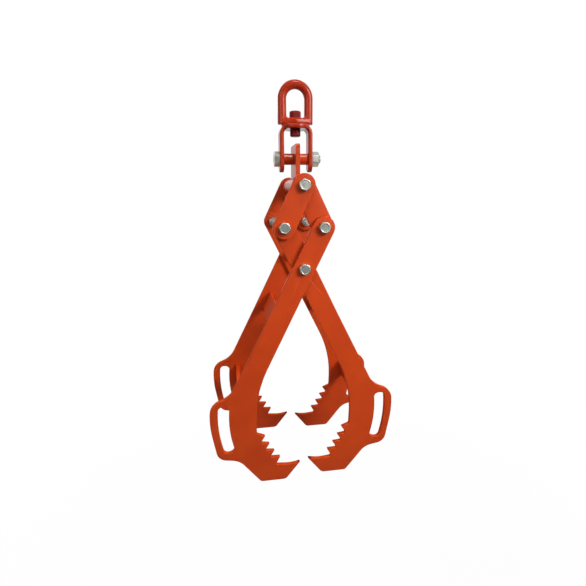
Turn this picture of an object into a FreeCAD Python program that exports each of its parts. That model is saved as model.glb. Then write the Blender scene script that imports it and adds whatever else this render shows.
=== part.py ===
import FreeCAD, Part
import math
import os

# Lifting tongs with four claws, hanging closed from a swivel eye.
# Millimetres and degrees. The origin is the top of the eye's opening, where a hook bears.
# X is the way the claws open, Y runs from the front pair to the back pair, Z is up.

# Flat steel of the links and claw arms
plate = 8.0
bar_width = 38.0
edge_break = 0.8

# Scissor linkage: four equal sides, half of its top angle when the claws are closed
link_pitch = 78.2
rest_half_angle = 26.0
depth_overall = 191.0

# Claw: straight runs of its bar below the centre pivot, then the hook with its handle
claw_reach = 176.5
claw_drop = 418.0
outer_run = 100.0
inner_run = 251.0
slot_width = 20.4
slot_corner = 8.5
tooth_depth = 14.6
tooth_bow = 1.8
tooth_count = 4

# Rounds of the claw's outline, from the bar round the handle to the point and back up the throat
flare_round = 500.0
neck_round = 48.0
handle_round = 29.0
bow_round = 200.0
foot_round = 20.0
web_round = 34.0
heel_round = 9.0
toe_round = 11.0
lip_round = 60.0
gullet_round = 3.0
notch_round = 2.2
throat_round = 3.5
bend_round = 235.0

# Flat cross bars that join the front claw to the back claw
cross_bar_width = 36.0
cross_bar_plate = 8.0
upper_bar_run = 113.0

# Pivot bolts and nuts, M12
pivot_diameter = 12.0
pivot_hex = 18.0
pivot_head = 7.5
pivot_nut = 10.8
pivot_tail = 3.0

# Hanger: a plate on edge, welded to the tube round the top pivot bolt
hanger_plate = 8.0
hanger_width = 60.0
hanger_rise = 24.5
hanger_drop = 48.0
hanger_corner = 4.0
tube_diameter = 27.0

# Clevis bolt and nut, M16, with a spacer on each side of the hanger
clevis_diameter = 16.0
clevis_hex = 24.0
clevis_head = 10.0
clevis_nut = 13.0
clevis_tail = 3.0
spacer_diameter = 20.0

# Swivel fork
fork_gap = 44.0
fork_leg = 8.0
fork_depth = 28.0
fork_bridge = 8.0
fork_boss = 52.0
fork_shoulder = 16.0
fork_reach = 59.0
fork_tail = 23.4
fork_edge = 2.0

# Swivel pin and its nut
pin_diameter = 13.0
pin_head_diameter = 19.0
pin_head = 11.8
pin_hex = 18.0
pin_nut = 11.5
pin_edge = 1.5

# Swivel eye, a round bar bent over a base that swells round the pin
eye_bar = 16.0
eye_width = 32.0
eye_height = 48.0
eye_base = 11.0
eye_boss = 27.0
eye_crown = 4.2
eye_edge = 2.5

# Clearances: pin in a turning hole, pin in the last hole of the loop, faces that slide past each other
turn_fit = 0.05
loop_fit = 0.15
side_gap = 0.3
layer_gap = 0.4
overrun = 5.0
touch = 0.001

# Places on the hook, as shares of the claw's reach and drop from the centre pivot
neck_share = (0.778, 0.5594)
handle_top_share = (0.993, 0.590)
handle_bow_share = (1.007, 0.694)
foot_share = (0.935, 0.8646)
web_share = (0.710, 0.880)
heel_share = (0.485, 1.000)
toe_share = (0.208, 1.000)
point_share = (0.051, 0.916)
lip_share = (0.165, 0.9245)
gullet_share = (0.320, 0.918)
first_tooth_share = (0.430, 0.7645)
last_tooth_share = (0.271, 0.878)
throat_share = (0.514, 0.750)
notch_share = 0.41
slot_shares = ((0.8555, 0.627), (0.857, 0.718), (0.8215, 0.809))
lower_bar_share = (0.686, 0.641)

# Corners of a bolt head or nut are turned down to this share of its width, at this angle
hex_crown_share = 0.95
hex_bevel_angle = 30.0

# Bevel of a shank's end, as a share of its diameter
tip_share = 0.1

# Fillet at the foot of the eye's legs, as a share of the room beside the nut
eye_fillet_share = 0.9

# Heights, from the eye down
base_top = -eye_height
base_bottom = base_top - eye_base
fork_top = base_bottom - side_gap
clevis_height = fork_top - fork_reach
top_height = clevis_height - hanger_drop
half_angle = math.radians(rest_half_angle)
side_height = top_height - link_pitch * math.cos(half_angle)
side_spread = link_pitch * math.sin(half_angle)
centre_height = side_height - link_pitch * math.cos(half_angle)

# Depths of the plates, from the mid plane out
outer_face = depth_overall / 2
outer_back = outer_face - plate
inner_face = outer_back - layer_gap
inner_back = inner_face - plate


def vec(x, y, z):
    return FreeCAD.Vector(x, y, z)


def line(start, end):
    return Part.LineSegment(start, end).toShape()


def arc(start, middle, end):
    return Part.Arc(start, middle, end).toShape()


def cylinder(radius, start, end):
    """A round bar from one point to another."""
    along = end - start
    return Part.makeCylinder(radius, along.Length, start, along)


def bored(solid, radius, start, end):
    """The solid with a round hole from one point to another, run past both."""
    along = end - start
    along.normalize()
    return solid.cut(cylinder(radius, start - along * overrun, end + along * overrun))


def outline(corners):
    """Face inside a closed outline of corners, each with a radius that is zero where it is sharp.

    Where the rounds of two corners need more than the side between them, both shrink to fit it.
    """
    points = [point for point, radius in corners]
    count = len(points)
    turns = []
    cuts = []
    for number, (here, radius) in enumerate(corners):
        back = points[number - 1] - here
        ahead = points[(number + 1) % count] - here
        turns.append(back.getAngle(ahead) / 2)
        cuts.append(radius / math.tan(turns[-1]))
    room = [1.0] * count
    for number in range(count):
        following = (number + 1) % count
        needed = cuts[number] + cuts[following]
        if needed:
            share = (points[following] - points[number]).Length / needed
            room[number] = min(room[number], share)
            room[following] = min(room[following], share)

    runs = []
    for number, here in enumerate(points):
        back = points[number - 1] - here
        ahead = points[(number + 1) % count] - here
        back.normalize()
        ahead.normalize()
        inside = back + ahead
        inside.normalize()
        cut = cuts[number] * room[number]
        radius = cut * math.tan(turns[number])
        middle = here + inside * (radius / math.sin(turns[number]) - radius)
        runs.append((here + back * cut, middle, here + ahead * cut))
    edges = []
    for number, (start, middle, end) in enumerate(runs):
        if (end - start).Length > touch:
            edges.append(arc(start, middle, end))
        following = runs[(number + 1) % count][0]
        if (following - end).Length > touch:
            edges.append(line(end, following))
    return Part.Face(Part.Wire(edges))


def broken_edges(solid, depths, size):
    """The solid with a small bevel along every edge that lies in a plane of one of these depths."""
    picked = []
    for edge in solid.Edges:
        box = edge.BoundBox
        for depth in depths:
            if abs(box.YMin - depth) < touch and abs(box.YMax - depth) < touch:
                picked.append(edge)
    return solid.makeChamfer(size, picked)


def hexagon(width, height, start, direction):
    """A hexagonal bolt head or nut, its corners turned down on the far face."""
    corner = width / math.sqrt(3)
    points = []
    for step in range(7):
        turn = math.radians(60 * step)
        points.append(vec(corner * math.cos(turn), corner * math.sin(turn), 0))
    block = Part.Face(Part.makePolygon(points)).extrude(vec(0, 0, height))
    crown = Part.makeCylinder(corner, height)
    drop = corner - width / 2 * hex_crown_share
    rim = [edge for edge in crown.Edges if edge.Closed and abs(edge.BoundBox.ZMin - height) < touch]
    crown = crown.makeChamfer(drop * math.tan(math.radians(hex_bevel_angle)), drop, rim)
    block = block.common(crown)
    block.Placement = FreeCAD.Placement(start, FreeCAD.Rotation(vec(0, 0, 1), direction))
    return block


def bolt(diameter, width, head, start, end):
    """A hexagon bolt: its head stands outside the start, its shank runs to the end."""
    along = end - start
    along.normalize()
    shank = cylinder(diameter / 2, start, end)
    rim = [edge for edge in shank.Edges if edge.Closed and (edge.CenterOfMass - end).Length < touch]
    shank = shank.makeChamfer(diameter * tip_share, rim)
    return hexagon(width, head, start, along * -1).fuse(shank).removeSplitter()


def nut(diameter, width, height, start, direction):
    """A hexagon nut that reaches from the start in this direction."""
    far = start + direction * height
    return bored(hexagon(width, height, start, direction), diameter / 2 + turn_fit, start, far)


def leg_fillet(foot, radius, fillet):
    """Ring with a hollow rounded flank, round the foot of an upright leg."""
    outer = foot + vec(radius + fillet, 0, 0)
    upper = foot + vec(radius, 0, fillet)
    hollow = fillet - fillet / math.sqrt(2)
    flank = arc(outer, foot + vec(radius + hollow, 0, hollow), upper)
    middle = foot + vec(0, 0, fillet)
    edges = [line(foot, outer), flank, line(upper, middle), line(middle, foot)]
    return Part.Face(Part.Wire(edges)).revolve(foot, vec(0, 0, 1), 360)


def eye_plan(inset):
    """Outline of the eye's base seen from above, less an inset: round at the pin, tapering to both legs."""
    reach = (eye_width + eye_bar) / 2
    wide = eye_boss / 2 - inset
    narrow = eye_bar / 2 - inset
    taper = math.asin((wide - narrow) / reach)
    side = wide / math.cos(taper)
    tip = wide / math.sin(taper)
    corners = [
        (vec(tip, 0, base_bottom), narrow),
        (vec(0, side, base_bottom), wide),
        (vec(-tip, 0, base_bottom), narrow),
        (vec(0, -side, base_bottom), wide),
    ]
    return outline(corners)


def swivel_eye():
    """Round bar bent to a half circle over two straight legs, which stand on the base."""
    fillet = (eye_width / 2 - pin_hex / math.sqrt(3)) * eye_fillet_share
    reach = (eye_width + eye_bar) / 2
    radius = eye_bar / 2
    bend = -eye_width / 2
    arch = Part.makeTorus(reach, radius, vec(0, 0, bend), vec(0, 1, 0))
    span = reach + radius
    upper = Part.makeBox(2 * span, eye_bar, span, vec(-span, -radius, bend))
    solid = arch.common(upper)
    base = eye_plan(0).extrude(vec(0, 0, eye_base))
    upper_rim = [edge for edge in base.Edges if edge.BoundBox.ZMin > base_top - touch]
    base = base.makeFillet(eye_crown, upper_rim)
    lower_rim = [edge for edge in base.Edges if edge.BoundBox.ZMax < base_bottom + touch]
    joined = [base.makeFillet(eye_edge, lower_rim)]
    room = eye_plan(eye_crown).extrude(vec(0, 0, eye_base + fillet))
    for x in (-reach, reach):
        joined.append(cylinder(radius, vec(x, 0, base_bottom), vec(x, 0, bend)))
        joined.append(leg_fillet(vec(x, 0, base_top), radius, fillet).common(room))
    solid = solid.fuse(joined).removeSplitter()
    return bored(solid, pin_diameter / 2 + turn_fit, vec(0, 0, base_bottom), vec(0, 0, base_top))


def swivel_pin():
    """Pin up through the fork and the eye's base, with a round head inside the fork."""
    head_top = fork_top - fork_bridge - side_gap
    head_bottom = head_top - pin_head
    head = cylinder(pin_head_diameter / 2, vec(0, 0, head_bottom), vec(0, 0, head_top))
    rim = [edge for edge in head.Edges if edge.Closed and abs(edge.BoundBox.ZMax - head_bottom) < touch]
    head = head.makeChamfer(pin_edge, rim)
    shank = cylinder(pin_diameter / 2, vec(0, 0, head_top), vec(0, 0, base_top + pin_nut))
    return head.fuse(shank).removeSplitter()


def swivel_pin_nut():
    """Nut inside the eye that holds the pin."""
    return nut(pin_diameter, pin_hex, pin_nut, vec(0, 0, base_top), vec(0, 0, 1))


def swivel_fork():
    """Forged fork: a bridge with a round boss, and two legs with rounded ends, bored for pin and bolt."""
    inside = fork_gap / 2
    outside = inside + fork_leg
    front = -fork_depth / 2
    under = fork_top - fork_bridge
    foot = clevis_height - fork_tail
    inner_shoulder = fork_shoulder - fork_leg
    corners = [
        (vec(-outside, front, foot), 0),
        (vec(-outside, front, fork_top), fork_shoulder),
        (vec(outside, front, fork_top), fork_shoulder),
        (vec(outside, front, foot), 0),
        (vec(inside, front, foot), 0),
        (vec(inside, front, under), inner_shoulder),
        (vec(-inside, front, under), inner_shoulder),
        (vec(-inside, front, foot), 0),
    ]
    solid = outline(corners).extrude(vec(0, fork_depth, 0))
    solid = broken_edges(solid, (front, -front), fork_edge)

    left = -outside - overrun
    side_view = [
        (vec(left, front, foot), -front),
        (vec(left, front, fork_top + overrun), 0),
        (vec(left, -front, fork_top + overrun), 0),
        (vec(left, -front, foot), -front),
    ]
    solid = solid.common(outline(side_view).extrude(vec(-2 * left, 0, 0)))
    boss = cylinder(fork_boss / 2, vec(0, 0, under), vec(0, 0, fork_top))
    boss = boss.makeFillet(fork_edge, [edge for edge in boss.Edges if edge.Closed])
    solid = solid.fuse(boss).removeSplitter()
    solid = bored(solid, pin_diameter / 2 + turn_fit, vec(0, 0, under), vec(0, 0, fork_top))
    start = vec(-outside, 0, clevis_height)
    end = vec(outside, 0, clevis_height)
    return bored(solid, clevis_diameter / 2 + turn_fit, start, end)


def clevis_bolt():
    """Bolt across the fork that carries the hanger; its head is on the left."""
    outside = fork_gap / 2 + fork_leg
    start = vec(-outside, 0, clevis_height)
    end = vec(outside + clevis_nut + clevis_tail, 0, clevis_height)
    return bolt(clevis_diameter, clevis_hex, clevis_head, start, end)


def clevis_bolt_nut():
    outside = fork_gap / 2 + fork_leg
    return nut(clevis_diameter, clevis_hex, clevis_nut, vec(outside, 0, clevis_height), vec(1, 0, 0))


def clevis_spacer(side):
    """Short sleeve on the clevis bolt, from the hanger to one leg of the fork."""
    near = vec(side * (hanger_plate / 2 + side_gap), 0, clevis_height)
    far = vec(side * fork_gap / 2, 0, clevis_height)
    return bored(cylinder(spacer_diameter / 2, near, far), clevis_diameter / 2 + turn_fit, near, far)


def hanger():
    """Plate on edge that hangs from the clevis bolt and is welded on top of the tube."""
    top = clevis_height + hanger_rise
    half = hanger_width / 2
    face = -hanger_plate / 2
    corners = [
        (vec(face, -half, top_height), 0),
        (vec(face, -half, top), hanger_corner),
        (vec(face, half, top), hanger_corner),
        (vec(face, half, top_height), 0),
    ]
    solid = outline(corners).extrude(vec(hanger_plate, 0, 0))
    tube_end = vec(0, half, 0)
    tube_axis = vec(0, 0, top_height)
    solid = bored(solid, tube_diameter / 2, tube_axis - tube_end, tube_axis + tube_end)
    start = vec(face, 0, clevis_height)
    return bored(solid, clevis_diameter / 2 + turn_fit, start, start + vec(hanger_plate, 0, 0))


def top_tube():
    """Thick tube round the top pivot bolt, from the front links to the back links."""
    start = vec(0, side_gap - inner_back, top_height)
    end = vec(0, inner_back - side_gap, top_height)
    return bored(cylinder(tube_diameter / 2, start, end), pivot_diameter / 2 + turn_fit, start, end)


def top_pivot_bolt():
    """Long bolt through both link pairs and the tube, its head in front."""
    start = vec(0, -outer_face - side_gap, top_height)
    end = vec(0, outer_face + side_gap + pivot_nut + pivot_tail, top_height)
    return bolt(pivot_diameter, pivot_hex, pivot_head, start, end)


def top_pivot_nut():
    start = vec(0, outer_face + side_gap, top_height)
    return nut(pivot_diameter, pivot_hex, pivot_nut, start, vec(0, 1, 0))


def layer_start(layer, back):
    """Lowest depth of a plate in the outer or inner layer of the front or back set."""
    if layer == "outer":
        return outer_back if back else -outer_face
    return inner_back if back else -inner_face


def link(side, layer, back):
    """Straight link from the top pivot to one side pivot, with round ends."""
    depth = layer_start(layer, back)
    half = bar_width / 2
    top = vec(0, depth, top_height)
    low = vec(side * side_spread, depth, side_height)
    along = low - top
    along.normalize()
    across = vec(along.z, 0, -along.x)
    corners = []
    for end, way in ((top, -1), (low, 1)):
        for edge in (way, -way):
            corners.append((end + along * half * way + across * half * edge, half))
    solid = outline(corners).extrude(vec(0, plate, 0))
    solid = broken_edges(solid, (depth, depth + plate), edge_break)
    for centre in (top, low):
        solid = bored(solid, pivot_diameter / 2 + turn_fit, centre, centre + vec(0, plate, 0))
    return solid


def claw_point(side, depth, share):
    """A place on the hook, from its shares of the claw's reach and drop."""
    return vec(side * claw_reach * share[0], depth, centre_height - claw_drop * share[1])


def tooth_corners(side, depth):
    """Tips and notches of the teeth with their rounds, from the lip up to the throat, on a bowed row."""
    first = claw_point(side, depth, first_tooth_share)
    last = claw_point(side, depth, last_tooth_share)
    step = (first - last) * (1 / (tooth_count - 1))
    inward = vec(side * abs(step.z), 0, -abs(step.x))
    inward.normalize()
    corners = []
    for number in range(tooth_count):
        part = number / (tooth_count - 1)
        tip = last + step * number + inward * (4 * tooth_bow * part * (1 - part))
        if number:
            corners.append((tip - step * notch_share + inward * tooth_depth, notch_round))
        corners.append((tip, 0))
    return corners


def handle_slot(side, depth):
    """Bowed slot for the fingers, of one width, with rounded corners."""
    top, middle, low = [claw_point(side, depth, share) for share in slot_shares]
    centre = arc(top, middle, low).Curve.Center
    radius = (top - centre).Length
    half = slot_width / 2

    def outward(point):
        out = point - centre
        out.normalize()
        return out

    def end_corner(point, other, distance):
        out = outward(point)
        along = vec(out.z, 0, -out.x)
        if along.dot(point - other) < 0:
            along = along * -1
        return point + along * half + out * distance

    bow = outward(top) + outward(low)
    bow.normalize()
    spread = 1 / math.cos(bow.getAngle(outward(top)))
    corners = [
        (end_corner(top, low, half), slot_corner),
        (centre + bow * (radius + half) * spread, radius + half),
        (end_corner(low, top, half), slot_corner),
        (end_corner(low, top, -half), slot_corner),
        (centre + bow * (radius - half) * spread, radius - half),
        (end_corner(top, low, -half), slot_corner),
    ]
    return outline(corners).extrude(vec(0, plate, 0))


def claw(side, layer, back):
    """One claw arm: a bar from its side pivot past the centre pivot, then the toothed hook and handle."""
    depth = layer_start(layer, back)
    half = bar_width / 2
    centre = vec(0, depth, centre_height)
    upper = vec(-side * side_spread, depth, side_height)
    along = centre - upper
    along.normalize()
    out = vec(along.z * -side, 0, along.x * side)

    def at(share):
        return claw_point(side, depth, share)

    corners = [
        (upper - along * half - out * half, half),
        (upper - along * half + out * half, half),
        (centre + along * outer_run + out * half, flare_round),
        (at(neck_share), neck_round),
        (at(handle_top_share), handle_round),
        (at(handle_bow_share), bow_round),
        (at(foot_share), foot_round),
        (at(web_share), web_round),
        (at(heel_share), heel_round),
        (at(toe_share), toe_round),
        (at(point_share), 0),
        (at(lip_share), lip_round),
        (at(gullet_share), gullet_round),
    ]
    corners += tooth_corners(side, depth)
    corners.append((at(throat_share), throat_round))
    corners.append((centre + along * inner_run - out * half, bend_round))
    solid = outline(corners).extrude(vec(0, plate, 0)).cut(handle_slot(side, depth))
    solid = broken_edges(solid, (depth, depth + plate), edge_break)
    solid = bored(solid, pivot_diameter / 2 + turn_fit, upper, upper + vec(0, plate, 0))
    centre_fit = turn_fit if layer == "outer" else loop_fit
    return bored(solid, pivot_diameter / 2 + centre_fit, centre, centre + vec(0, plate, 0))


def cross_bar(half_length, place, along):
    """Flat bar welded between the front and back claws of one side, its width this way."""
    middle = place - vec(0, half_length, 0)
    across = vec(along.z, 0, -along.x) * (cross_bar_plate / 2)
    reach = along * (cross_bar_width / 2)
    corners = []
    for edge, way in ((-1, -1), (1, -1), (1, 1), (-1, 1)):
        corners.append((middle + reach * edge + across * way, 0))
    return outline(corners).extrude(vec(0, 2 * half_length, 0))


def upper_bar(side, half_length):
    """Cross bar below the centre pivot, its width along the claw's bar."""
    along = vec(side * math.sin(half_angle), 0, -math.cos(half_angle))
    return cross_bar(half_length, vec(0, 0, centre_height) + along * upper_bar_run, along)


def lower_bar(side, half_length):
    """Cross bar beside the handle, its width upright."""
    return cross_bar(half_length, claw_point(side, 0, lower_bar_share), vec(0, 0, -1))


def pivot_pair(x, z, head_gap, nut_gap):
    """Bolts and nuts of one pivot, in front and at the back: heads outside, nuts inside."""
    bolts = []
    nuts = []
    for way in (-1, 1):
        inward = vec(0, -way, 0)
        head_face = vec(x, way * (outer_face + head_gap), z)
        nut_face = vec(x, way * (inner_back - nut_gap), z)
        bolts.append(bolt(pivot_diameter, pivot_hex, pivot_head, head_face,
                          nut_face + inward * (pivot_nut + pivot_tail)))
        nuts.append(nut(pivot_diameter, pivot_hex, pivot_nut, nut_face, inward))
    return Part.makeCompound(bolts), Part.makeCompound(nuts)


def all_pieces():
    """Every piece of the tongs by name."""
    pieces = {
        "swivel_eye": swivel_eye(),
        "swivel_pin": swivel_pin(),
        "swivel_pin_nut": swivel_pin_nut(),
        "swivel_fork": swivel_fork(),
        "clevis_bolt": clevis_bolt(),
        "clevis_nut": clevis_bolt_nut(),
        "clevis_spacer_left": clevis_spacer(-1),
        "clevis_spacer_right": clevis_spacer(1),
        "hanger_plate": hanger(),
        "top_cross_tube": top_tube(),
        "top_pivot_bolt": top_pivot_bolt(),
        "top_pivot_nut": top_pivot_nut(),
    }
    sides = {"left": (-1, "outer", outer_back), "right": (1, "inner", inner_back)}
    for name, (side, layer, half_length) in sides.items():
        for back, end in ((False, "front"), (True, "back")):
            pieces[name + "_link_" + end] = link(side, layer, back)
            pieces[name + "_claw_" + end] = claw(side, layer, back)
        pieces[name + "_upper_cross_bar"] = upper_bar(side, half_length)
        pieces[name + "_lower_cross_bar"] = lower_bar(side, half_length)
    pivots = {
        "left_pivot": (-side_spread, side_height, 0, side_gap),
        "right_pivot": (side_spread, side_height, side_gap, 0),
        "centre_pivot": (0, centre_height, 0, side_gap),
    }
    for name, place in pivots.items():
        pieces[name + "_bolts"], pieces[name + "_nuts"] = pivot_pair(*place)
    return pieces


os.makedirs("parts", exist_ok=True)
for piece_name, shape in all_pieces().items():
    shape.exportStep(os.path.join("parts", piece_name + ".step"))
    print(piece_name, shape.isValid(), len(shape.Solids), round(shape.Volume))
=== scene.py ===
import math

import bmesh
import bpy
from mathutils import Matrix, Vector


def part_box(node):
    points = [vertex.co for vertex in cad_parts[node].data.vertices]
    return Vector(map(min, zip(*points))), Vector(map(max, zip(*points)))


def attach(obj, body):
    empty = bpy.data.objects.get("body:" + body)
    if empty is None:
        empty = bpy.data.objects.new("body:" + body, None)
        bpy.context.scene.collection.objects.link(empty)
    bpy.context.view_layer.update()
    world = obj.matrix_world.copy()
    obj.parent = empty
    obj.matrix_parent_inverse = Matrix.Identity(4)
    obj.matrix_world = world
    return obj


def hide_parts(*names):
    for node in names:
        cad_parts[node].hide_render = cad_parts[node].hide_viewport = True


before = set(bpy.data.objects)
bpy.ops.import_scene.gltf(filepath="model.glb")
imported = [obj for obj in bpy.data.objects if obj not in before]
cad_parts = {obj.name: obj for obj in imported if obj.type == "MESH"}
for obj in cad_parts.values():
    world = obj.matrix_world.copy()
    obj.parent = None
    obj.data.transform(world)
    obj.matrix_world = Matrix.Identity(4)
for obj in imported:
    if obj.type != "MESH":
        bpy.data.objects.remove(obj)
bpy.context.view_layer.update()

# Swivel eye
# A drop-forged steel eye: round bar bent over a base that swells round the swivel pin.
# Forging leaves every corner soft; it is sprayed with orange paint after assembly.
MM = 0.001
MERGE_DISTANCE = 0.001 * MM
FORGE_VOXEL = 0.75 * MM
FORGE_PASSES = 12
FORGING_COLOURS = ((0.360, 0.024, 0.006), (0.440, 0.034, 0.008), (0.560, 0.075, 0.024))
FORGING_PEEL = (420, 0.12)
FORGING_ROUGHNESS = (0.10, 0.20)
FORGING_SHINE = 0.24
BLACK = (0, 0, 0)
WHITE = (1, 1, 1)
NOISE_ROUGHNESS = 0.6
CLOUD_SCALE = 14
CLOUD_DETAIL = 4
CLOUD_LIMITS = (0.35, 0.68)
SPECK_SCALE = 260
SPECK_DETAIL = 2
SPECK_LIMITS = (0.62, 0.78)
SPECK_SHARE = 0.06
BEVEL_SHEEN_AND_FILM_SHARE = 0.35
GLOSS_SCALE = 38
GLOSS_DETAIL = 3
PEEL_DEPTH = 0.4 * MM

# Sockets of a colour Mix node
MIX_SHARE = 0
MIX_FIRST = 6
MIX_SECOND = 7
MIX_RESULT = 2


def link_nodes(tree, links):
    """Join sockets of a node tree, given as (from node, its output, to node, its input)."""
    for source, output, target, socket in links:
        tree.links.new(source.outputs[output], target.inputs[socket])


def add_node(tree, kind, inputs=None, **settings):
    """One node with its settings and the values of its unlinked inputs."""
    made = tree.nodes.new(kind)
    for name, value in settings.items():
        setattr(made, name, value)
    for name, value in (inputs or {}).items():
        made.inputs[name].default_value = value
    return made


def blank_material(name):
    """A material with its shader and its texture coordinates."""
    made = bpy.data.materials.new(name)
    made.use_nodes = True
    tree = made.node_tree
    return made, tree, tree.nodes["Principled BSDF"], tree.nodes.new("ShaderNodeTexCoord")


def coloured_noise(tree, place, scale, detail, limits, colours):
    """Noise on the object, spread between two colours."""
    noise = add_node(tree, "ShaderNodeTexNoise", {
        "Scale": scale, "Detail": detail, "Roughness": NOISE_ROUGHNESS})
    ramp = tree.nodes.new("ShaderNodeValToRGB")
    for element, limit, colour in zip(ramp.color_ramp.elements, limits, colours):
        element.position = limit
        element.color = (*colour, 1)
    link_nodes(tree, [(place, "Object", noise, "Vector"), (noise, "Fac", ramp, "Fac")])
    return ramp


def paint(name, colours, peel, roughness, shine):
    """Sprayed paint: cloudy thickness, uneven gloss, an orange-peel skin, and paler bevels: thinner paint
    and a painted highlight.

    Its colours are where it is thick, usual, and pale on specks and marked bevels, and peel is how fine and
    strong the skin is.
    """
    made, tree, shader, place = blank_material(name)
    thick, usual, pale_colour = colours
    clouds = coloured_noise(tree, place, CLOUD_SCALE, CLOUD_DETAIL, CLOUD_LIMITS, (thick, usual))
    specks = coloured_noise(tree, place, SPECK_SCALE, SPECK_DETAIL, SPECK_LIMITS, (BLACK, WHITE))
    dust = add_node(tree, "ShaderNodeMath", {1: SPECK_SHARE}, operation="MULTIPLY")
    # Painted edge highlight: marked bevels turn toward the pale colour, which also stands for the thinner
    # paint there
    edge = add_node(tree, "ShaderNodeAttribute", attribute_name="edge")
    sheen_and_specks = add_node(tree, "ShaderNodeMath", {1: BEVEL_SHEEN_AND_FILM_SHARE}, operation="MULTIPLY_ADD")
    paled_colour = add_node(tree, "ShaderNodeMix", {MIX_SECOND: (*pale_colour, 1)}, data_type="RGBA")
    gloss = add_node(tree, "ShaderNodeTexNoise", {"Scale": GLOSS_SCALE, "Detail": GLOSS_DETAIL})
    spread = add_node(tree, "ShaderNodeMapRange", {"To Min": roughness[0], "To Max": roughness[1]})
    skin = add_node(tree, "ShaderNodeTexNoise", {"Scale": peel[0]})
    bump = add_node(tree, "ShaderNodeBump", {"Strength": peel[1], "Distance": PEEL_DEPTH})
    shader.inputs["Specular IOR Level"].default_value = shine
    link_nodes(tree, [
        (specks, "Color", dust, 0), (edge, "Fac", sheen_and_specks, 0), (dust, 0, sheen_and_specks, 2),
        (clouds, "Color", paled_colour, MIX_FIRST), (sheen_and_specks, 0, paled_colour, MIX_SHARE),
        (paled_colour, MIX_RESULT, shader, "Base Color"),
        (place, "Object", gloss, "Vector"), (gloss, "Fac", spread, "Value"),
        (spread, 0, shader, "Roughness"),
        (place, "Object", skin, "Vector"), (skin, "Fac", bump, "Height"), (bump, 0, shader, "Normal"),
    ])
    return made


def copied_mesh(node):
    """A merged copy of a node's mesh, as a bmesh."""
    made = bmesh.new()
    made.from_mesh(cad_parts[node].data)
    bmesh.ops.remove_doubles(made, verts=made.verts, dist=MERGE_DISTANCE)
    return made


def smooth_mesh(shape, name):
    """A plain mesh from a bmesh, shaded smooth."""
    made = bpy.data.meshes.new(name)
    shape.to_mesh(made)
    shape.free()
    for face in made.polygons:
        face.use_smooth = True
    return made


def new_piece(name, mesh, material):
    """An object at the origin for a mesh."""
    mesh.materials.append(material)
    piece = bpy.data.objects.new(name, mesh)
    bpy.context.scene.collection.objects.link(piece)
    return piece


def baked(piece):
    """Turn an object's modifiers into its plain mesh."""
    bpy.context.view_layer.update()
    graph = bpy.context.evaluated_depsgraph_get()
    mesh = bpy.data.meshes.new_from_object(piece.evaluated_get(graph))
    piece.modifiers.clear()
    piece.data = mesh
    mesh.name = piece.name
    return piece


def forged(name, node, material):
    """A node's shape with the soft corners of a forging."""
    piece = new_piece(name, smooth_mesh(copied_mesh(node), name), material)
    skin = piece.modifiers.new("skin", "REMESH")
    skin.mode = "VOXEL"
    skin.voxel_size = FORGE_VOXEL
    skin.use_smooth_shade = True
    soft = piece.modifiers.new("soft", "SMOOTH")
    soft.iterations = FORGE_PASSES
    return baked(piece)


forging_paint = paint("forging_paint", FORGING_COLOURS, FORGING_PEEL, FORGING_ROUGHNESS, FORGING_SHINE)
eye = forged("forged_eye", "swivel_eye", forging_paint)
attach(eye, "eye")
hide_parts("swivel_eye")

# Swivel pin and its nut
# A turned steel pin with a round head inside the fork; its nut sits in the eye.
# Both were painted over; their paint is given as a dark red, a painted shade for where they sit deep inside
# the eye and fork.
# Painted shade: a darker copy of the paint, for the pin and nut that sit in the shade of the eye and fork
PIN_SHADED_COLOURS = ((0.170, 0.009, 0.010), (0.250, 0.014, 0.013), (0.360, 0.036, 0.028))
PIN_PEEL = (420, 0.25)
PIN_ROUGHNESS = (0.34, 0.50)
PIN_SHINE = 0.15
PIN_EDGE = 0.9 * MM
PIN_EDGE_STEPS = 3
PIN_CORNER = 28
EDGE_STEPS = 2
FLAT_ANGLE = math.radians(0.6)
FACE_WEIGHT = 100


def softened(name, node, material, width, corner, steps=EDGE_STEPS):
    """A copy of a node, rounded over to a width where it turns by more than the corner's degrees."""
    # The merged mesh is read back, because the order of its edges decides how bevels meet at corners
    mesh = smooth_mesh(copied_mesh(node), name)
    shape = bmesh.new()
    shape.from_mesh(mesh)
    bmesh.ops.dissolve_limit(shape, angle_limit=FLAT_ANGLE, verts=shape.verts, edges=shape.edges)
    shape.to_mesh(mesh)
    shape.free()
    piece = new_piece(name, mesh, material)
    rounding = piece.modifiers.new("rounding", "BEVEL")
    rounding.width = width
    rounding.segments = steps
    rounding.limit_method = "ANGLE"
    rounding.angle_limit = math.radians(corner)
    normals = piece.modifiers.new("normals", "WEIGHTED_NORMAL")
    normals.weight = FACE_WEIGHT
    return baked(piece)


# The pin and its nut get the darker, painted-shade copy of the paint
pin_paint = paint("pin_paint", PIN_SHADED_COLOURS, PIN_PEEL, PIN_ROUGHNESS, PIN_SHINE)
for name, node in (("pin", "swivel_pin"), ("pin_nut", "swivel_pin_nut")):
    piece = softened("painted_" + name, node, pin_paint, PIN_EDGE, PIN_CORNER, PIN_EDGE_STEPS)
    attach(piece, "eye")
    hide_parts(node)

# Swivel fork
# A forged steel fork: a bossed bridge that turns on the pin, and two flat legs with round ends.
# It is painted with the eye.
fork = forged("forged_fork", "swivel_fork", forging_paint)
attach(fork, "fork")
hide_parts("swivel_fork")

# Spacers on the clevis bolt
# Two short cut lengths of tube that keep the hanger in the middle of the fork.
# Sawn square, deburred and painted glossy.
ORANGE_COLOURS = ((0.470, 0.044, 0.006), (0.540, 0.055, 0.007), (0.640, 0.100, 0.026))
ORANGE_PEEL = (800, 0.10)
ORANGE_SHINE = 0.36
SLEEVE_ROUGHNESS = (0.10, 0.20)
SPACER_EDGE = 0.6 * MM
SPACER_CORNER = 30

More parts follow.
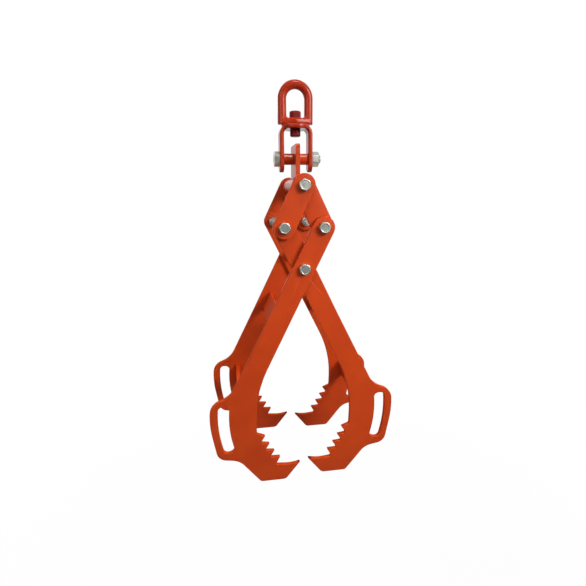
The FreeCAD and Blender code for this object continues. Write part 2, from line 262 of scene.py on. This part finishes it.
sleeve_paint = paint("sleeve_paint", ORANGE_COLOURS, ORANGE_PEEL, SLEEVE_ROUGHNESS, ORANGE_SHINE)
for side in ("left", "right"):
    node = "clevis_spacer_" + side
    spacer = softened("painted_spacer_" + side, node, sleeve_paint, SPACER_EDGE, SPACER_CORNER)
    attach(spacer, "fork")
    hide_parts(node)

# Clevis bolt and nut
# A large hexagon bolt across the fork, cold-headed and rolled, with a nut on its right end.
# Bright zinc plate, a little dull and greenish from its passivating.
CLEVIS_ACROSS = 24 * MM
CLEVIS_RADIUS = 8 * MM
CLEVIS_HEAD = 10 * MM
CLEVIS_PITCH = 2 * MM
CLEVIS_BOLT_TURN = 8
CLEVIS_NUT_TURN = 62
ZINC_COLOURS = ((0.370, 0.385, 0.340), (0.560, 0.570, 0.510))
ZINC_SCALE = 95
ZINC_DETAIL = 5
ZINC_LIMITS = (0.34, 0.66)
ZINC_ROUGHNESS = (0.34, 0.56)
MARK_SCALE = 640
MARK_DETAIL = 4
MARK_ROUGHNESS = 0.7
MARK_STRENGTH = 0.16
MARK_DEPTH = 0.2 * MM
SIDE_TURN = math.radians(60)
HEX_BEVEL = math.radians(30)
HEX_SHARP = math.radians(20)
HEX_TOP_SHARE = 0.94
HEX_CORNER_SHARE = 0.975
DISH_LIP_SHARE = 0.86
DISH_SHARE = 0.78
DISH_DEPTH = 0.35 * MM
THREAD_ROWS = 8
THREAD_DEPTH_SHARE = 0.54
POINT_SHARE = 0.9
NUT_BORE_SHARE = 0.92
COUNTERSINK_SHARE = 1.10
COUNTERSINK_DEPTH_SHARE = 0.10
FLAT_STEPS = 8
RING_STEPS = 6 * FLAT_STEPS
RING_TURNS = [2 * math.pi * step / RING_STEPS for step in range(RING_STEPS)]


def zinc(name):
    """Zinc plate on steel: a metal with cloudy passivation and fine handling marks."""
    made, tree, shader, place = blank_material(name)
    clouds = coloured_noise(tree, place, ZINC_SCALE, ZINC_DETAIL, ZINC_LIMITS, ZINC_COLOURS)
    marks = add_node(tree, "ShaderNodeTexNoise", {
        "Scale": MARK_SCALE, "Detail": MARK_DETAIL, "Roughness": MARK_ROUGHNESS})
    spread = add_node(tree, "ShaderNodeMapRange", {
        "To Min": ZINC_ROUGHNESS[0], "To Max": ZINC_ROUGHNESS[1]})
    bump = add_node(tree, "ShaderNodeBump", {"Strength": MARK_STRENGTH, "Distance": MARK_DEPTH})
    shader.inputs["Metallic"].default_value = 1.0
    link_nodes(tree, [
        (clouds, "Color", shader, "Base Color"), (place, "Object", marks, "Vector"),
        (marks, "Fac", spread, "Value"), (spread, 0, shader, "Roughness"),
        (marks, "Fac", bump, "Height"), (bump, 0, shader, "Normal"),
    ])
    return made


def hex_reach(across, turn):
    """Distance from the axis to a hexagon's side, its corners worn round."""
    past_corner = (turn + SIDE_TURN / 2) % SIDE_TURN - SIDE_TURN / 2
    flat = across / 2 / math.cos(SIDE_TURN / 2 - abs(past_corner))
    return min(flat, across / math.sqrt(3) * HEX_CORNER_SHARE)


def ring(mesh, reaches, heights):
    """A ring of points about the axis, from the reach and the height of each."""
    return [
        mesh.verts.new((reach * math.cos(turn), reach * math.sin(turn), height))
        for reach, turn, height in zip(reaches, RING_TURNS, heights)
    ]


def round_ring(mesh, radius, height):
    """A ring of one radius at one height."""
    return ring(mesh, [radius] * RING_STEPS, [height] * RING_STEPS)


def bridge(mesh, lower, upper):
    """Quads between two rings."""
    for step in range(RING_STEPS):
        after = (step + 1) % RING_STEPS
        mesh.faces.new((lower[step], lower[after], upper[after], upper[step]))


def hex_walls(mesh, across, height, way):
    """A hexagon's wall from its seat at zero to its bevelled face; gives its seat and that face's rim."""
    top = across / 2 * HEX_TOP_SHARE
    reaches = [hex_reach(across, turn) for turn in RING_TURNS]
    drops = [(reach - top) * math.tan(HEX_BEVEL) for reach in reaches]
    seat = ring(mesh, reaches, [0.0] * RING_STEPS)
    wall = ring(mesh, reaches, [way * (height - drop) for drop in drops])
    rim = round_ring(mesh, top, way * height)
    bridge(mesh, seat, wall)
    bridge(mesh, wall, rim)
    return seat, rim


def finished(mesh, name):
    """Point a turned shape's faces outwards and mark its sharp edges."""
    bmesh.ops.recalc_face_normals(mesh, faces=mesh.faces)
    made = smooth_mesh(mesh, name)
    made.set_sharp_from_angle(angle=HEX_SHARP)
    return made


def bolt_mesh(name, across, head, radius, length, pitch, thread):
    """A hexagon bolt: its dished head below zero, its shank up to the length, the last of it threaded."""
    mesh = bmesh.new()
    seat, rim = hex_walls(mesh, across, head, -1)
    top = across / 2 * HEX_TOP_SHARE
    lip = round_ring(mesh, top * DISH_LIP_SHARE, -head)
    dish = round_ring(mesh, top * DISH_SHARE, -head + DISH_DEPTH)
    bridge(mesh, rim, lip)
    bridge(mesh, lip, dish)
    mesh.faces.new(dish)
    neck = round_ring(mesh, radius, 0.0)
    bridge(mesh, seat, neck)
    below = round_ring(mesh, radius, length - thread)
    bridge(mesh, neck, below)

    depth = pitch * THREAD_DEPTH_SHARE
    rows = round(thread / pitch * THREAD_ROWS)
    for row in range(1, rows + 1):
        height = length - thread + thread * row / rows
        fade = min(1.0, row / THREAD_ROWS)
        point = max(0.0, (height - (length - pitch)) / pitch)
        reaches = []
        for turn in RING_TURNS:
            phase = (height / pitch - turn / (2 * math.pi)) % 1.0
            ridge = 1 - abs(2 * phase - 1)
            reaches.append(radius - depth * (1 - ridge) * fade - depth * POINT_SHARE * point * ridge)
        above = ring(mesh, reaches, [height] * RING_STEPS)
        bridge(mesh, below, above)
        below = above
    mesh.faces.new(below)
    return finished(mesh, name)


def nut_mesh(name, across, height, radius):
    """A hexagon nut on its seat at zero, bevelled on its far face, with a countersunk bore."""
    mesh = bmesh.new()
    seat, rim = hex_walls(mesh, across, height, 1)
    mouth = round_ring(mesh, radius * COUNTERSINK_SHARE, height)
    bore_top = round_ring(mesh, radius * NUT_BORE_SHARE, height - radius * COUNTERSINK_DEPTH_SHARE)
    bore_low = round_ring(mesh, radius * NUT_BORE_SHARE, 0.0)
    bridge(mesh, rim, mouth)
    bridge(mesh, mouth, bore_top)
    bridge(mesh, bore_top, bore_low)
    bridge(mesh, bore_low, seat)
    return finished(mesh, name)


def geometry_tree(name, sockets):
    """A tree from geometry to geometry, and the identifiers of its named inputs."""
    tree = bpy.data.node_groups.new(name, "GeometryNodeTree")
    tree.interface.new_socket("Geometry", in_out="INPUT", socket_type="NodeSocketGeometry")
    identifiers = {}
    for label, kind in sockets:
        made = tree.interface.new_socket(label, in_out="INPUT", socket_type="NodeSocket" + kind)
        identifiers[label] = made.identifier
    tree.interface.new_socket("Geometry", in_out="OUTPUT", socket_type="NodeSocketGeometry")
    return tree, identifiers


def fastener_tree():
    """Sets a bolt or a nut on each point, along the point's facing and turned by its own angle."""
    tree, identifiers = geometry_tree("fastener_set", (
        ("Bolt", "Object"), ("Nut", "Object"), ("Finish", "Material")))
    start = tree.nodes.new("NodeGroupInput")
    end = tree.nodes.new("NodeGroupOutput")
    facing = add_node(tree, "GeometryNodeInputNamedAttribute", {"Name": "facing"}, data_type="FLOAT_VECTOR")
    turn = add_node(tree, "GeometryNodeInputNamedAttribute", {"Name": "turn"}, data_type="FLOAT")
    is_nut = add_node(tree, "GeometryNodeInputNamedAttribute", {"Name": "is_nut"}, data_type="BOOLEAN")
    aim = add_node(tree, "FunctionNodeAlignRotationToVector", axis="Z")
    spin = add_node(tree, "FunctionNodeAxisAngleToRotation", {"Axis": (0, 0, 1)})
    both = add_node(tree, "FunctionNodeRotateRotation", rotation_space="LOCAL")
    is_bolt = add_node(tree, "FunctionNodeBooleanMath", operation="NOT")
    join = tree.nodes.new("GeometryNodeJoinGeometry")
    real = tree.nodes.new("GeometryNodeRealizeInstances")
    finish = tree.nodes.new("GeometryNodeSetMaterial")
    link_nodes(tree, [
        (facing, "Attribute", aim, "Vector"), (turn, "Attribute", spin, "Angle"),
        (aim, "Rotation", both, "Rotation"), (spin, "Rotation", both, "Rotate By"),
        (is_nut, "Attribute", is_bolt, 0),
    ])
    for label, chosen in (("Bolt", is_bolt), ("Nut", is_nut)):
        shape = tree.nodes.new("GeometryNodeObjectInfo")
        placed = tree.nodes.new("GeometryNodeInstanceOnPoints")
        link_nodes(tree, [
            (start, label, shape, "Object"), (shape, "Geometry", placed, "Instance"),
            (start, "Geometry", placed, "Points"), (chosen, 0, placed, "Selection"),
            (both, "Rotation", placed, "Rotation"), (placed, "Instances", join, "Geometry"),
        ])
    link_nodes(tree, [
        (join, "Geometry", real, "Geometry"), (real, "Geometry", finish, "Geometry"),
        (start, "Finish", finish, "Material"), (finish, "Geometry", end, "Geometry"),
    ])
    return tree, identifiers


def grow(piece, tree, identifiers, values):
    """Run a tree on a piece, with its inputs given by name, and bake the result."""
    modifier = piece.modifiers.new(tree.name, "NODES")
    modifier.node_group = tree
    for label, value in values.items():
        modifier[identifiers[label]] = value
    return baked(piece)


zinc_plate = zinc("zinc_plate")
fasteners, fastener_inputs = fastener_tree()


def fastener_set(name, bolt, nut, seats):
    """One mesh of bolts and nuts, from seats given as (place, facing, turn in degrees, is it a nut)."""
    mesh = bpy.data.meshes.new(name)
    mesh.from_pydata([seat[0] for seat in seats], [], [])
    for label, kind in (("facing", "FLOAT_VECTOR"), ("turn", "FLOAT"), ("is_nut", "BOOLEAN")):
        mesh.attributes.new(label, kind, "POINT")
    for number, (_, way, angle, is_nut) in enumerate(seats):
        mesh.attributes["facing"].data[number].vector = way
        mesh.attributes["turn"].data[number].value = math.radians(angle)
        mesh.attributes["is_nut"].data[number].value = is_nut
    bolt_shape = bpy.data.objects.new(name + "_bolt", bolt)
    nut_shape = bpy.data.objects.new(name + "_nut", nut)
    piece = grow(new_piece(name, mesh, zinc_plate), fasteners, fastener_inputs, {
        "Bolt": bolt_shape, "Nut": nut_shape, "Finish": zinc_plate})
    bpy.data.objects.remove(bolt_shape)
    bpy.data.objects.remove(nut_shape)
    return piece


bolt_low, bolt_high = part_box("clevis_bolt")
nut_low, nut_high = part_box("clevis_nut")
nut_height = nut_high.x - nut_low.x
shank_length = bolt_high.x - bolt_low.x - CLEVIS_HEAD
clevis_height = (bolt_low.z + bolt_high.z) / 2
clevis_bolt = bolt_mesh("clevis_bolt_shape", CLEVIS_ACROSS, CLEVIS_HEAD, CLEVIS_RADIUS, shank_length,
                        CLEVIS_PITCH, nut_height)
clevis_nut = nut_mesh("clevis_nut_shape", CLEVIS_ACROSS, nut_height, CLEVIS_RADIUS)
right = Vector((1, 0, 0))
clevis_set = fastener_set("clevis_fasteners", clevis_bolt, clevis_nut, [
    (Vector((bolt_low.x + CLEVIS_HEAD, 0, clevis_height)), right, CLEVIS_BOLT_TURN, False),
    (Vector((nut_low.x, 0, clevis_height)), right, CLEVIS_NUT_TURN, True),
])
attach(clevis_set, "fork")
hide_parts("clevis_bolt", "clevis_nut")

# Hanger
# A steel plate on edge, hung on the clevis bolt and welded along the top of a thick tube.
# Flame-cut, its edges ground; painted after welding, so the bead is orange too.
PLATE_ROUGHNESS = (0.25, 0.36)
PLATE_CORNER = 40
HANGER_EDGE = 0.9 * MM
TUBE_EDGE = 0.8 * MM
BEAD_SPACING = 2.1 * MM
BEAD_RADIUS = 2.5 * MM
BEAD_OFFSET = 0.7 * MM
BEAD_SIZES = (0.95, 1.07)
BEAD_FLATNESS = 0.80
BEAD_FINENESS = 3
BEAD_SEED = 7
CORE_SHARE = 0.93
CORE_SIDES = 14

# Sockets of a Random Value node that gives plain numbers
RANDOM_LOW = 2
RANDOM_HIGH = 3
RANDOM_RESULT = 1


def weld_tree():
    """A weld bead along an edge path: overlapping drops of uneven size over a continuous core."""
    tree, identifiers = geometry_tree("weld_bead", (
        ("Spacing", "Float"), ("Drop radius", "Float"), ("Core radius", "Float"),
        ("Seed", "Int"), ("Finish", "Material")))
    start = tree.nodes.new("NodeGroupInput")
    end = tree.nodes.new("NodeGroupOutput")
    path = tree.nodes.new("GeometryNodeMeshToCurve")
    spaced = add_node(tree, "GeometryNodeResampleCurve", mode="LENGTH")
    tangent = tree.nodes.new("GeometryNodeInputTangent")
    aim = add_node(tree, "FunctionNodeAlignRotationToVector", axis="Z")
    size = add_node(tree, "FunctionNodeRandomValue", {
        RANDOM_LOW: BEAD_SIZES[0], RANDOM_HIGH: BEAD_SIZES[1]}, data_type="FLOAT")
    flat = add_node(tree, "ShaderNodeCombineXYZ", {"Z": BEAD_FLATNESS})
    drop = add_node(tree, "GeometryNodeMeshIcoSphere", {"Subdivisions": BEAD_FINENESS})
    placed = tree.nodes.new("GeometryNodeInstanceOnPoints")
    ringed = add_node(tree, "GeometryNodeCurvePrimitiveCircle", {"Resolution": CORE_SIDES})
    core = tree.nodes.new("GeometryNodeCurveToMesh")
    join = tree.nodes.new("GeometryNodeJoinGeometry")
    real = tree.nodes.new("GeometryNodeRealizeInstances")
    smooth = tree.nodes.new("GeometryNodeSetShadeSmooth")
    finish = tree.nodes.new("GeometryNodeSetMaterial")
    link_nodes(tree, [
        (start, "Geometry", path, "Mesh"), (path, "Curve", spaced, "Curve"),
        (start, "Spacing", spaced, "Length"), (spaced, "Curve", placed, "Points"),
        (start, "Drop radius", drop, "Radius"), (drop, "Mesh", placed, "Instance"),
        (tangent, "Tangent", aim, "Vector"), (aim, "Rotation", placed, "Rotation"),
        (start, "Seed", size, "Seed"), (size, RANDOM_RESULT, flat, "X"), (size, RANDOM_RESULT, flat, "Y"),
        (flat, "Vector", placed, "Scale"),
        (start, "Core radius", ringed, "Radius"), (spaced, "Curve", core, "Curve"),
        (ringed, "Curve", core, "Profile Curve"),
        (placed, "Instances", join, "Geometry"), (core, "Mesh", join, "Geometry"),
        (join, "Geometry", real, "Geometry"), (real, "Geometry", smooth, "Geometry"),
        (smooth, "Geometry", finish, "Geometry"), (start, "Finish", finish, "Material"),
        (finish, "Geometry", end, "Geometry"),
    ])
    return tree, identifiers


welds, weld_inputs = weld_tree()


def weld_bead(name, paths, material, radius):
    """One mesh of weld beads along closed paths of points."""
    points = []
    edges = []
    for path in paths:
        first = len(points)
        points.extend(path)
        edges.extend((first + n, first + (n + 1) % len(path)) for n in range(len(path)))
    mesh = bpy.data.meshes.new(name)
    mesh.from_pydata(points, edges, [])
    return grow(new_piece(name, mesh, material), welds, weld_inputs, {
        "Spacing": BEAD_SPACING, "Drop radius": radius, "Core radius": radius * CORE_SHARE,
        "Seed": BEAD_SEED, "Finish": material})


plate_paint = paint("plate_paint", ORANGE_COLOURS, ORANGE_PEEL, PLATE_ROUGHNESS, ORANGE_SHINE)
hanger = softened("painted_hanger", "hanger_plate", plate_paint, HANGER_EDGE, PLATE_CORNER)
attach(hanger, "hanger")
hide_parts("hanger_plate")

tube = softened("painted_tube", "top_cross_tube", plate_paint, TUBE_EDGE, PLATE_CORNER)
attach(tube, "hanger")
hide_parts("top_cross_tube")

tube_low, tube_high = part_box("top_cross_tube")
tube_radius = (tube_high.x - tube_low.x) / 2
tube_height = (tube_low.z + tube_high.z) / 2
hanger_low, hanger_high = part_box("hanger_plate")
bead_low = hanger_low - Vector((BEAD_OFFSET, BEAD_OFFSET, 0))
bead_high = hanger_high + Vector((BEAD_OFFSET, BEAD_OFFSET, 0))
bead_z = tube_height + math.sqrt(tube_radius ** 2 - hanger_high.x ** 2) + BEAD_OFFSET
hanger_weld = weld_bead("hanger_weld", [[
    (bead_low.x, bead_low.y, bead_z), (bead_high.x, bead_low.y, bead_z),
    (bead_high.x, bead_high.y, bead_z), (bead_low.x, bead_high.y, bead_z),
]], plate_paint, BEAD_RADIUS)
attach(hanger_weld, "hanger")

# Links
# Four straight links cut from flat bar with round ends, drilled for the pivot bolts.
# Edges are tumbled and powder coated, which leaves a thin film there, duller; bevels are paler, for that
# film and as a painted highlight.
DULL_ROUGHNESS = (0.38, 0.50)
DULL_SHINE = 0.01
PLATE_FLAT_ANGLE = math.radians(0.5)
PLATE_SHARP = math.radians(58)

# How squarely a face looks forward or back: a plate's own face does so more than a bevel
FACE_LEAN = 0.95
BEVEL_LEAN = 0.3

dull_paint = paint("dull_paint", ORANGE_COLOURS, ORANGE_PEEL, DULL_ROUGHNESS, DULL_SHINE)


def plate_piece(name, node):
    """A cut plate, dull on its cut edges, its small bevels marked to be paler: thinner paint and a painted
    highlight.
    """
    shape = copied_mesh(node)
    bmesh.ops.dissolve_limit(shape, angle_limit=PLATE_FLAT_ANGLE, verts=shape.verts, edges=shape.edges)
    bmesh.ops.triangulate(shape, faces=[face for face in shape.faces if len(face.verts) > 4])
    mesh = smooth_mesh(shape, name)
    mesh.set_sharp_from_angle(angle=PLATE_SHARP)
    piece = new_piece(name, mesh, plate_paint)
    mesh.materials.append(dull_paint)
    # The bevel mask paints a pale edge highlight on the plates, together with their thinner paint
    edge = mesh.attributes.new("edge", "FLOAT", "FACE")
    for face in mesh.polygons:
        lean = abs(face.normal.y)
        edge.data[face.index].value = float(BEVEL_LEAN < lean < FACE_LEAN)
        face.material_index = int(lean < FACE_LEAN)
    normals = piece.modifiers.new("normals", "WEIGHTED_NORMAL")
    normals.weight = FACE_WEIGHT
    normals.keep_sharp = True
    return baked(piece)


for side in ("left", "right"):
    for end in ("front", "back"):
        node = f"{side}_link_{end}"
        link = plate_piece("coated_" + node, node)
        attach(link, side + "_links")
        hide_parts(node)

# Claws
# Four hooked arms cut from plate, with teeth, a point and a slotted handle, powder coated.
# Two flat cross bars are welded between the front and back arm of each side.
BAR_EDGE = 0.6 * MM
BAR_BEAD_RADIUS = 2.3 * MM

pivot_low, pivot_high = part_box("centre_pivot_bolts")
centre_pivot = (pivot_low + pivot_high) / 2
bar_low, bar_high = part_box("left_lower_cross_bar")
bar_plate = bar_high.x - bar_low.x
bar_width = bar_high.z - bar_low.z
for side in ("left", "right"):
    body = side + "_claws"
    for end in ("front", "back"):
        node = f"{side}_claw_{end}"
        claw = plate_piece("coated_" + node, node)
        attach(claw, body)
        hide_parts(node)
    seams = []
    for level in ("upper", "lower"):
        node = f"{side}_{level}_cross_bar"
        bar = softened("painted_" + node, node, dull_paint, BAR_EDGE, PLATE_CORNER)
        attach(bar, body)
        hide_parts(node)
        low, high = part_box(node)
        middle = (low + high) / 2
        along = (middle - centre_pivot) if level == "upper" else Vector((0, 0, -1))
        along.y = 0
        along.normalize()
        reach = along * (bar_width / 2 + BEAD_OFFSET)
        across = Vector((along.z, 0, -along.x)) * (bar_plate / 2 + BEAD_OFFSET)
        for depth in (low.y + BEAD_OFFSET, high.y - BEAD_OFFSET):
            seam = Vector((middle.x, depth, middle.z))
            seams.append([
                seam - reach - across, seam + reach - across, seam + reach + across, seam - reach + across])
    bead = weld_bead(side + "_bar_welds", seams, dull_paint, BAR_BEAD_RADIUS)
    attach(bead, body)

# Pivot bolts and nuts
# Hexagon bolts, zinc plated: heads outside, nuts inside, two for each side and centre pivot.
# One long bolt runs through the tube and both pairs of links at the top.
PIVOT_ACROSS = 18 * MM
PIVOT_HEAD = 7.5 * MM
PIVOT_RADIUS = 6 * MM
PIVOT_PITCH = 1.75 * MM
PIVOT_NUT = 10.8 * MM
PIVOT_TAIL = 3 * MM
PIVOT_THREAD = PIVOT_NUT + PIVOT_TAIL
PIVOT_BODIES = {"left": "left_links", "right": "right_links", "centre": "left_claws"}

# How far each front bolt, back bolt, front nut and back nut happens to be turned, in degrees
PIVOT_TURNS = {"left": (8, 50, 22, 35), "right": (2, 33, 47, 12), "centre": (15, 28, 5, 54)}
TOP_BOLT_TURN = 18
TOP_NUT_TURN = 40

backward = Vector((0, 1, 0))
forward = Vector((0, -1, 0))
pivot_nut = nut_mesh("pivot_nut_shape", PIVOT_ACROSS, PIVOT_NUT, PIVOT_RADIUS)


def pivot_bolt(length):
    """A pivot bolt with a shank of this length."""
    return bolt_mesh("pivot_bolt_shape", PIVOT_ACROSS, PIVOT_HEAD, PIVOT_RADIUS, length,
                     PIVOT_PITCH, PIVOT_THREAD)


for pivot, body in PIVOT_BODIES.items():
    low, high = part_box(pivot + "_pivot_bolts")
    nut_low, nut_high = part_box(pivot + "_pivot_nuts")
    centre = (low + high) / 2
    grip = high.y - PIVOT_HEAD - nut_high.y
    turns = PIVOT_TURNS[pivot]
    pivot_set = fastener_set(pivot + "_pivot_fasteners", pivot_bolt(grip + PIVOT_THREAD), pivot_nut, [
        (Vector((centre.x, low.y + PIVOT_HEAD, centre.z)), backward, turns[0], False),
        (Vector((centre.x, high.y - PIVOT_HEAD, centre.z)), forward, turns[1], False),
        (Vector((centre.x, nut_low.y, centre.z)), backward, turns[2], True),
        (Vector((centre.x, nut_high.y, centre.z)), forward, turns[3], True),
    ])
    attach(pivot_set, body)
    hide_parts(pivot + "_pivot_bolts", pivot + "_pivot_nuts")

low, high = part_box("top_pivot_bolt")
nut_low, nut_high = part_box("top_pivot_nut")
centre = (low + high) / 2
top_set = fastener_set("top_pivot_fasteners", pivot_bolt(high.y - low.y - PIVOT_HEAD), pivot_nut, [
    (Vector((0, low.y + PIVOT_HEAD, centre.z)), backward, TOP_BOLT_TURN, False),
    (Vector((0, nut_low.y, centre.z)), backward, TOP_NUT_TURN, True),
])
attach(top_set, "hanger")
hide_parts("top_pivot_bolt", "top_pivot_nut")

# Studio
# White paper far below and behind the hanging tongs. Soft lamps light them from the front right,
# more weakly from the front left, and from behind; a small one above makes the highlights.
# The room in front is dim, so that colours stay full.
FLOOR_HEIGHT = -1.12
FLOOR_HALF = 30.0
PAPER_WHITE = (0.86, 0.86, 0.86, 1)
PAPER_DIM = (0.16, 0.16, 0.16, 1)
ROOM_FRONT = 0.30
ROOM_BACK = 0.80
BACKDROP_STARTS = -0.25
BACKDROP_FULL = 0.45
SHADOW_SHARE = 0.92
SHADOW_STARTS = 0.2
SHADOW_ENDS = 1.1

# Each lamp's place and aim, its width in metres, its power in watts and its spread in degrees
LAMPS = {
    "key_lamp": ((0.95, -1.10, 0.36), (0, 0, -0.46), 0.7, 3.7, 60),
    "left_lamp": ((-0.95, -1.10, 0.30), (0, 0, -0.45), 0.8, 1.1, 80),
    "top_lamp": ((0.15, -0.45, 0.85), (0, 0, -0.10), 0.2, 4.0, 180),
    "back_lamp": ((-0.60, 1.30, 0.60), (0, 0, -0.35), 0.8, 8.0, 180),
}


def backdrop(tree, place, output):
    """How far behind the tongs a ray ends, and the share of white that it sees there.

    The camera sees white all round; mirrored and transmitted rays see it behind the tongs.
    """
    parts = tree.nodes.new("ShaderNodeSeparateXYZ")
    behind = add_node(tree, "ShaderNodeMapRange", {
        "From Min": BACKDROP_STARTS, "From Max": BACKDROP_FULL}, interpolation_type="SMOOTHSTEP")
    rays = tree.nodes.new("ShaderNodeLightPath")
    mirrored = add_node(tree, "ShaderNodeMath", operation="MAXIMUM")
    reached = add_node(tree, "ShaderNodeMath", operation="MULTIPLY")
    share = add_node(tree, "ShaderNodeMath", operation="MAXIMUM")
    link_nodes(tree, [
        (place, output, parts, "Vector"), (parts, "Y", behind, "Value"),
        (rays, "Is Glossy Ray", mirrored, 0), (rays, "Is Transmission Ray", mirrored, 1),
        (mirrored, 0, reached, 0), (behind, 0, reached, 1),
        (rays, "Is Camera Ray", share, 0), (reached, 0, share, 1),
    ])
    return behind, share


def floor_paper():
    """White paper with a soft shadow under the tongs, dim to the light that it sends back."""
    made = bpy.data.materials.new("floor_paper")
    made.use_nodes = True
    tree = made.node_tree
    tree.nodes.clear()
    place = tree.nodes.new("ShaderNodeTexCoord")
    share = backdrop(tree, place, "Object")[1]
    lit = add_node(tree, "ShaderNodeBsdfDiffuse", {"Color": PAPER_WHITE})
    bare = add_node(tree, "ShaderNodeEmission", {"Color": (*WHITE, 1)})
    dim = add_node(tree, "ShaderNodeBsdfDiffuse", {"Color": PAPER_DIM})
    distance = add_node(tree, "ShaderNodeVectorMath", {1: (0, 0, FLOOR_HEIGHT)}, operation="DISTANCE")
    fade = add_node(tree, "ShaderNodeMapRange", {
        "From Min": SHADOW_STARTS, "From Max": SHADOW_ENDS, "To Min": SHADOW_SHARE,
    }, interpolation_type="SMOOTHSTEP")
    shaded = tree.nodes.new("ShaderNodeMixShader")
    chosen = tree.nodes.new("ShaderNodeMixShader")
    out = tree.nodes.new("ShaderNodeOutputMaterial")
    link_nodes(tree, [
        (place, "Object", distance, 0), (distance, "Value", fade, "Value"), (fade, 0, shaded, 0),
        (lit, 0, shaded, 1), (bare, 0, shaded, 2), (share, 0, chosen, 0),
        (dim, 0, chosen, 1), (shaded, 0, chosen, 2), (chosen, 0, out, "Surface"),
    ])
    return made


floor_mesh = bpy.data.meshes.new("floor")
corners = [(x * FLOOR_HALF, y * FLOOR_HALF, FLOOR_HEIGHT) for x, y in ((-1, -1), (1, -1), (1, 1), (-1, 1))]
floor_mesh.from_pydata(corners, [], [(0, 1, 2, 3)])
floor = new_piece("floor", floor_mesh, floor_paper())

world = bpy.data.worlds.new("white_room")
bpy.context.scene.world = world
world.use_nodes = True
tree = world.node_tree
tree.nodes.clear()
behind, share = backdrop(tree, tree.nodes.new("ShaderNodeTexCoord"), "Generated")
light = add_node(tree, "ShaderNodeMapRange", {"To Min": ROOM_FRONT, "To Max": ROOM_BACK})
level = add_node(tree, "ShaderNodeMath", operation="MAXIMUM")
sky = add_node(tree, "ShaderNodeBackground", {"Color": (*WHITE, 1)})
out = tree.nodes.new("ShaderNodeOutputWorld")
link_nodes(tree, [
    (behind, 0, light, "Value"), (light, 0, level, 0), (share, 0, level, 1),
    (level, 0, sky, "Strength"), (sky, 0, out, "Surface"),
])

for name, (place, target, width, power, spread) in LAMPS.items():
    lamp = bpy.data.lights.new(name, "AREA")
    lamp.shape = "SQUARE"
    lamp.size = width
    lamp.energy = power
    lamp.spread = math.radians(spread)
    box = bpy.data.objects.new(name, lamp)
    bpy.context.scene.collection.objects.link(box)
    box.location = place
    box.rotation_euler = (Vector(target) - Vector(place)).to_track_quat("-Z", "Y").to_euler()

# Camera
# Stands where the photograph's did, a little left of the front and looking slightly down.
# Its place is in metres and its angles in degrees; the focal length is in the picture's pixels.
PIXELS = 586
FOCAL_PIXELS = 397.6
SENSOR = 36.0
NEAR_CLIP = 0.01
CAMERA_PLACE = (-0.12206, -0.76268, -0.18201)
CAMERA_TILT = 76.129
CAMERA_ROLL = 0.368
CAMERA_TURN = -8.738

lens = bpy.data.cameras.new("camera")
lens.sensor_width = SENSOR
lens.lens = FOCAL_PIXELS / PIXELS * SENSOR
lens.clip_start = NEAR_CLIP
camera = bpy.data.objects.new("camera", lens)
bpy.context.scene.collection.objects.link(camera)
camera.location = CAMERA_PLACE
camera.rotation_euler = [math.radians(angle) for angle in (CAMERA_TILT, CAMERA_ROLL, CAMERA_TURN)]
bpy.context.scene.camera = camera
bpy.context.scene.view_settings.view_transform = "Standard"
